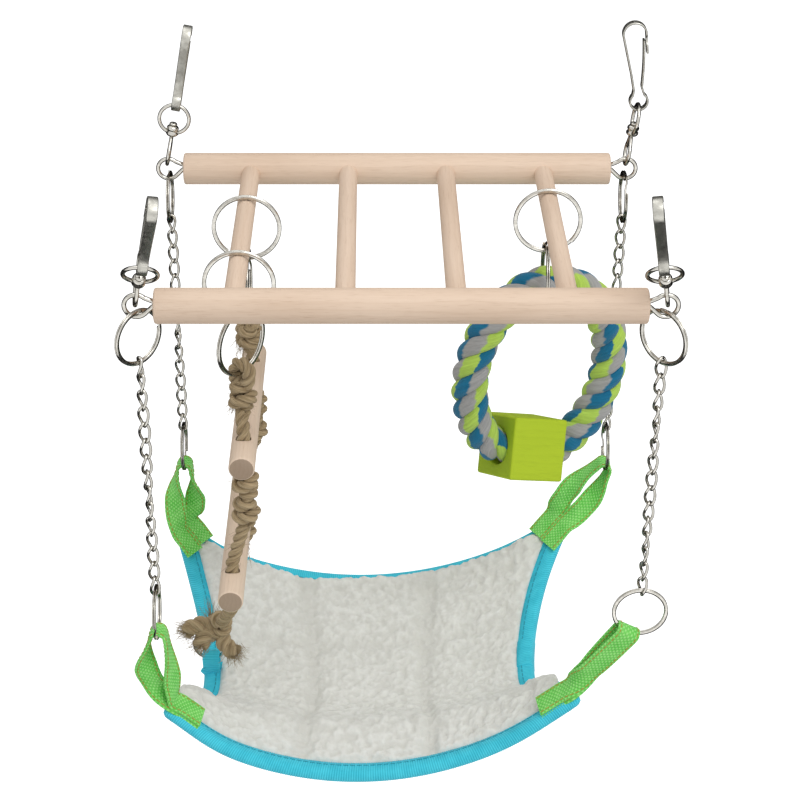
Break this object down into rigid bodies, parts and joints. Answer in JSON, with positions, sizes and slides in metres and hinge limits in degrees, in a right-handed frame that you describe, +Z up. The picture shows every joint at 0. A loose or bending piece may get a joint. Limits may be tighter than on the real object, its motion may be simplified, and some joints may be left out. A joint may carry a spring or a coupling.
{
  "type": "small pet hanging bridge",
  "caption": "Hanging wooden ladder bridge for small pets on swivel snap hooks, with a chain-hung fleece hammock, a rope ladder and a rope ring toy with a wooden block.",
  "frame": {"origin": "middle of the four hooks' hanging points, at the height where the rear hooks rest on their bar", "axes": "+X to the toy's side along the rails, +Y to the rear rail along the rungs, +Z up"},
  "size_m": [0.2238, 0.1837, 0.3079],
  "materials": {
    "pale_wood": "bare sanded dowel",
    "nickel_plate": "bright nickel-plated wire",
    "spring_steel": "plated flat spring strip",
    "white_fleece": "curly sherpa pile",
    "white_backing": "plain knitted backing",
    "blue_tape": "ribbed binding tape",
    "green_webbing": "woven webbing",
    "jute_rope": "twisted jute",
    "cotton_rope": "fat three-strand rope in lime, teal and grey",
    "lime_wood": "stained wood with fine grain"
  },
  "bodies": {
    "bridge": {"rail_front": "pale_wood", "rail_rear": "pale_wood", "rung_1": "pale_wood", "rung_2": "pale_wood", "rung_3": "pale_wood", "rung_4": "pale_wood", "screw_eye_fl": "nickel_plate", "screw_eye_fr": "nickel_plate", "screw_eye_rl": "nickel_plate", "screw_eye_rr": "nickel_plate"},
    "swivel_base_fl": {"swivel_base_fl": "nickel_plate"},
    "swivel_eye_fl": {"swivel_eye_fl": "nickel_plate"},
    "snap_hook_fl": {"snap_hook_fl": "spring_steel"},
    "snap_gate_fl": {"snap_gate_fl": "spring_steel"},
    "swivel_base_fr": {"swivel_base_fr": "nickel_plate"},
    "swivel_eye_fr": {"swivel_eye_fr": "nickel_plate"},
    "snap_hook_fr": {"snap_hook_fr": "spring_steel"},
    "snap_gate_fr": {"snap_gate_fr": "spring_steel"},
    "swivel_base_rl": {"swivel_base_rl": "nickel_plate"},
    "swivel_eye_rl": {"swivel_eye_rl": "nickel_plate"},
    "snap_hook_rl": {"snap_hook_rl": "spring_steel"},
    "snap_gate_rl": {"snap_gate_rl": "spring_steel"},
    "swivel_base_rr": {"swivel_base_rr": "nickel_plate"},
    "swivel_eye_rr": {"swivel_eye_rr": "nickel_plate"},
    "snap_hook_rr": {"snap_hook_rr": "spring_steel"},
    "snap_gate_rr": {"snap_gate_rr": "spring_steel"},
    "upper_ring_fr": {"upper_ring_fr": "nickel_plate"},
    "chain_fr": {"chain_fr": "nickel_plate"},
    "lower_ring_fr": {"lower_ring_fr": "nickel_plate"},
    "upper_ring_fl": {"upper_ring_fl": "nickel_plate"},
    "chain_fl": {"chain_fl": "nickel_plate"},
    "lower_ring_fl": {"lower_ring_fl": "nickel_plate"},
    "upper_ring_rl": {"upper_ring_rl": "nickel_plate"},
    "chain_rl": {"chain_rl": "nickel_plate"},
    "lower_ring_rl": {"lower_ring_rl": "nickel_plate"},
    "upper_ring_rr": {"upper_ring_rr": "nickel_plate"},
    "chain_rr": {"chain_rr": "nickel_plate"},
    "lower_ring_rr": {"lower_ring_rr": "nickel_plate"},
    "hammock": {"hammock_fleece": "white_fleece", "hammock_backing": "white_backing", "edge_binding": "blue_tape", "corner_loop_fl": "green_webbing", "corner_loop_fr": "green_webbing", "corner_loop_rl": "green_webbing", "corner_loop_rr": "green_webbing", "side_tab": "blue_tape"},
    "ladder_rung_ring_front": {"ladder_rung_ring_front": "nickel_plate"},
    "ladder_rope_front": {"ladder_rope_ring_front": "nickel_plate", "ladder_rope_front": "jute_rope"},
    "ladder_rung_ring_rear": {"ladder_rung_ring_rear": "nickel_plate"},
    "ladder_rope_rear": {"ladder_rope_ring_rear": "nickel_plate", "ladder_rope_rear": "jute_rope"},
    "ladder_dowel_1": {"ladder_dowel_1": "pale_wood"},
    "ladder_dowel_2": {"ladder_dowel_2": "pale_wood"},
    "tie_ring": {"tie_ring": "nickel_plate"},
    "toy_rung_ring": {"toy_rung_ring": "nickel_plate"},
    "toy_rope_ring": {"toy_rope_ring": "nickel_plate"},
    "toy_rope": {"toy_rope": "cotton_rope"},
    "toy_block": {"toy_block": "lime_wood"}
  },
  "joints": [
    {"name": "hook_lean_fl", "type": "hinge", "parent": "bridge", "child": "swivel_base_fl", "pos_m": [-0.102, -0.068, -0.06296], "axis": [1, 0, 0], "range_deg": [-115, 35]},
    {"name": "swivel_spin_fl", "type": "hinge", "parent": "swivel_base_fl", "child": "swivel_eye_fl", "pos_m": [-0.102, -0.068, -0.06296], "axis": [0.2079, -0.6287, 0.7493], "continuous": true},
    {"name": "hook_tilt_fl", "type": "hinge", "parent": "swivel_eye_fl", "child": "snap_hook_fl", "pos_m": [-0.09665, -0.08417, -0.04369], "axis": [0.9781, 0.1336, -0.1593], "range_deg": [-26, 54]},
    {"name": "gate_flex_fl", "type": "hinge", "parent": "snap_hook_fl", "child": "snap_gate_fl", "pos_m": [-0.09509, -0.08613, -0.03571], "axis": [0.9781, 0.1336, -0.1593], "range_deg": [0, 12], "stiffness_Nm_per_rad": 0.3},
    {"name": "hook_lean_fr", "type": "hinge", "parent": "bridge", "child": "swivel_base_fr", "pos_m": [0.102, -0.068, -0.06296], "axis": [1, 0, 0], "range_deg": [-115, 35]},
    {"name": "swivel_spin_fr", "type": "hinge", "parent": "swivel_base_fr", "child": "swivel_eye_fr", "pos_m": [0.102, -0.068, -0.06296], "axis": [-0.1908, -0.631, 0.752], "continuous": true},
    {"name": "hook_tilt_fr", "type": "hinge", "parent": "swivel_eye_fr", "child": "snap_hook_fr", "pos_m": [0.09709, -0.08423, -0.04362], "axis": [0.9816, -0.1227, 0.1462], "range_deg": [-26, 54]},
    {"name": "gate_flex_fr", "type": "hinge", "parent": "snap_hook_fr", "child": "snap_gate_fr", "pos_m": [0.09565, -0.0862, -0.03562], "axis": [0.9816, -0.1227, 0.1462], "range_deg": [0, 12], "stiffness_Nm_per_rad": 0.3},
    {"name": "hook_lean_rl", "type": "hinge", "parent": "bridge", "child": "swivel_base_rl", "pos_m": [-0.102, 0.068, -0.06296], "axis": [1, 0, 0], "range_deg": [-75, 75]},
    {"name": "swivel_spin_rl", "type": "hinge", "parent": "swivel_base_rl", "child": "swivel_eye_rl", "pos_m": [-0.102, 0.068, -0.06296], "axis": [0.1908, 0, 0.9816], "continuous": true},
    {"name": "hook_tilt_rl", "type": "hinge", "parent": "swivel_eye_rl", "child": "snap_hook_rl", "pos_m": [-0.09709, 0.068, -0.03771], "axis": [0.9816, 0, -0.1908], "range_deg": [-46, 34]},
    {"name": "gate_flex_rl", "type": "hinge", "parent": "snap_hook_rl", "child": "snap_gate_rl", "pos_m": [-0.0955, 0.06883, -0.02954], "axis": [0.9816, 0, -0.1908], "range_deg": [0, 12], "stiffness_Nm_per_rad": 0.3},
    {"name": "hook_lean_rr", "type": "hinge", "parent": "bridge", "child": "swivel_base_rr", "pos_m": [0.102, 0.068, -0.06296], "axis": [1, 0, 0], "range_deg": [-75, 75]},
    {"name": "swivel_spin_rr", "type": "hinge", "parent": "swivel_base_rr", "child": "swivel_eye_rr", "pos_m": [0.102, 0.068, -0.06296], "axis": [0.1564, 0, 0.9877], "continuous": true},
    {"name": "hook_tilt_rr", "type": "hinge", "parent": "swivel_eye_rr", "child": "snap_hook_rr", "pos_m": [0.10602, 0.068, -0.03755], "axis": [0, -1, 0], "range_deg": [-56, 24]},
    {"name": "gate_flex_rr", "type": "hinge", "parent": "snap_hook_rr", "child": "snap_gate_rr", "pos_m": [0.10671, 0.068, -0.02922], "axis": [0, -1, 0], "range_deg": [0, 12], "stiffness_Nm_per_rad": 0.3},
    {"name": "ring_swing_fr", "type": "hinge", "parent": "bridge", "child": "upper_ring_fr", "pos_m": [0.102, -0.068, -0.07236], "axis": [1, 0, 0], "range_deg": [-6, 10]},
    {"name": "chain_sway_fr", "type": "hinge", "parent": "upper_ring_fr", "child": "chain_fr", "pos_m": [0.102, -0.068, -0.09226], "axis": [0, 1, 0], "range_deg": [-9, 9]},
    {"name": "lower_ring_sway_fr", "type": "hinge", "parent": "chain_fr", "child": "lower_ring_fr", "pos_m": [0.102, -0.068, -0.20115], "axis": [0, 1, 0], "range_deg": [-9.5, 9.5]},
    {"name": "ring_swing_fl", "type": "hinge", "parent": "bridge", "child": "upper_ring_fl", "pos_m": [-0.102, -0.068, -0.07236], "axis": [1, 0, 0], "range_deg": [-6.5, 10.5]},
    {"name": "chain_sway_fl", "type": "hinge", "parent": "upper_ring_fl", "child": "chain_fl", "pos_m": [-0.102, -0.068, -0.09226], "axis": [0, 1, 0], "range_deg": [-9.5, 9.5]},
    {"name": "lower_ring_sway_fl", "type": "hinge", "parent": "chain_fl", "child": "lower_ring_fl", "pos_m": [-0.102, -0.068, -0.20115], "axis": [0, 1, 0], "range_deg": [-9.5, 9.5]},
    {"name": "ring_swing_rl", "type": "hinge", "parent": "bridge", "child": "upper_ring_rl", "pos_m": [-0.102, 0.068, -0.07236], "axis": [1, 0, 0], "range_deg": [-6.5, 10.5]},
    {"name": "chain_sway_rl", "type": "hinge", "parent": "upper_ring_rl", "child": "chain_rl", "pos_m": [-0.102, 0.068, -0.09226], "axis": [0, 1, 0], "range_deg": [-9.5, 9.5]},
    {"name": "lower_ring_sway_rl", "type": "hinge", "parent": "chain_rl", "child": "lower_ring_rl", "pos_m": [-0.102, 0.068, -0.20115], "axis": [0, 1, 0], "range_deg": [-9.5, 9.5]},
    {"name": "ring_swing_rr", "type": "hinge", "parent": "bridge", "child": "upper_ring_rr", "pos_m": [0.102, 0.068, -0.07236], "axis": [1, 0, 0], "range_deg": [-6.5, 10.5]},
    {"name": "chain_sway_rr", "type": "hinge", "parent": "upper_ring_rr", "child": "chain_rr", "pos_m": [0.102, 0.068, -0.09226], "axis": [0, 1, 0], "range_deg": [-9.5, 9.5]},
    {"name": "lower_ring_sway_rr", "type": "hinge", "parent": "chain_rr", "child": "lower_ring_rr", "pos_m": [0.102, 0.068, -0.20115], "axis": [0, 1, 0], "range_deg": [-9.5, 9.5]},
    {"name": "hammock_hang", "type": "hinge", "parent": "lower_ring_fr", "child": "hammock", "pos_m": [0.102, -0.068, -0.22315], "axis": [1, 0, 0], "range_deg": [-10.5, 6.5]},
    {"name": "ladder_rung_swing_front", "type": "hinge", "parent": "bridge", "child": "ladder_rung_ring_front", "pos_m": [-0.06495, -0.031, -0.06766], "axis": [0, 1, 0], "range_deg": [-5.31, 5.31]},
    {"name": "ladder_rope_swing_front", "type": "hinge", "parent": "ladder_rung_ring_front", "child": "ladder_rope_front", "pos_m": [-0.06495, -0.031, -0.09066], "axis": [1, 0, 0], "range_deg": [-5.5, 8.84]},
    {"name": "ladder_rung_swing_rear", "type": "hinge", "parent": "bridge", "child": "ladder_rung_ring_rear", "pos_m": [-0.06495, 0.024, -0.06766], "axis": [0, 1, 0], "range_deg": [-5.31, 5.31]},
    {"name": "ladder_rope_swing_rear", "type": "hinge", "parent": "ladder_rung_ring_rear", "child": "ladder_rope_rear", "pos_m": [-0.06495, 0.024, -0.09066], "axis": [1, 0, 0], "range_deg": [-5.5, 8.84]},
    {"name": "ladder_dowel_level_1", "type": "hinge", "parent": "ladder_rope_front", "child": "ladder_dowel_1", "pos_m": [-0.06495, -0.038, -0.14966], "axis": [1, 0, 0], "range_deg": [-8.84, 5.5]},
    {"name": "ladder_dowel_level_2", "type": "hinge", "parent": "ladder_rope_front", "child": "ladder_dowel_2", "pos_m": [-0.07195, -0.038, -0.21666], "axis": [1, 0, 0], "range_deg": [-8.84, 5.5]},
    {"name": "tie_ring_turn", "type": "hinge", "parent": "hammock", "child": "tie_ring", "pos_m": [-0.08682, -0.002, -0.27892], "axis": [0, 0, 1], "range_deg": [-15, 15]},
    {"name": "toy_rung_swing", "type": "hinge", "parent": "bridge", "child": "toy_rung_ring", "pos_m": [0.06495, 0.031, -0.06766], "axis": [0, 1, 0], "range_deg": [-10, 10]},
    {"name": "toy_ring_swing", "type": "hinge", "parent": "toy_rung_ring", "child": "toy_rope_ring", "pos_m": [0.06495, 0.031, -0.09066], "axis": [1, 0, 0], "range_deg": [-15, 6]},
    {"name": "toy_rope_swing", "type": "hinge", "parent": "toy_rope_ring", "child": "toy_rope", "pos_m": [0.06495, 0.031, -0.10696], "axis": [-0.4226, 0.9063, 0], "range_deg": [-12, 12]},
    {"name": "toy_block_spin", "type": "hinge", "parent": "toy_rope", "child": "toy_block", "pos_m": [0.05788, 0.02771, -0.18825], "axis": [0.8678, 0.4047, -0.2885], "continuous": true}
  ],
  "couplings": [
    {"joint": "lower_ring_sway_fr", "follows": "chain_sway_fr", "ratio": -1},
    {"joint": "ring_swing_fl", "follows": "ring_swing_fr", "ratio": 1},
    {"joint": "chain_sway_fl", "follows": "chain_sway_fr", "ratio": 1},
    {"joint": "lower_ring_sway_fl", "follows": "chain_sway_fr", "ratio": -1},
    {"joint": "ring_swing_rl", "follows": "ring_swing_fr", "ratio": 1},
    {"joint": "chain_sway_rl", "follows": "chain_sway_fr", "ratio": 1},
    {"joint": "lower_ring_sway_rl", "follows": "chain_sway_fr", "ratio": -1},
    {"joint": "ring_swing_rr", "follows": "ring_swing_fr", "ratio": 1},
    {"joint": "chain_sway_rr", "follows": "chain_sway_fr", "ratio": 1},
    {"joint": "lower_ring_sway_rr", "follows": "chain_sway_fr", "ratio": -1},
    {"joint": "hammock_hang", "follows": "ring_swing_fr", "ratio": -1},
    {"joint": "ladder_rung_swing_front", "follows": "chain_sway_fr", "ratio": 0.53441},
    {"joint": "ladder_rope_swing_front", "follows": "ring_swing_fr", "ratio": 0.83421},
    {"joint": "ladder_rung_swing_rear", "follows": "chain_sway_fr", "ratio": 0.53441},
    {"joint": "ladder_rope_swing_rear", "follows": "ring_swing_fr", "ratio": 0.83421},
    {"joint": "ladder_dowel_level_1", "follows": "ring_swing_fr", "ratio": -0.83421},
    {"joint": "ladder_dowel_level_2", "follows": "ring_swing_fr", "ratio": -0.83421}
  ]
}
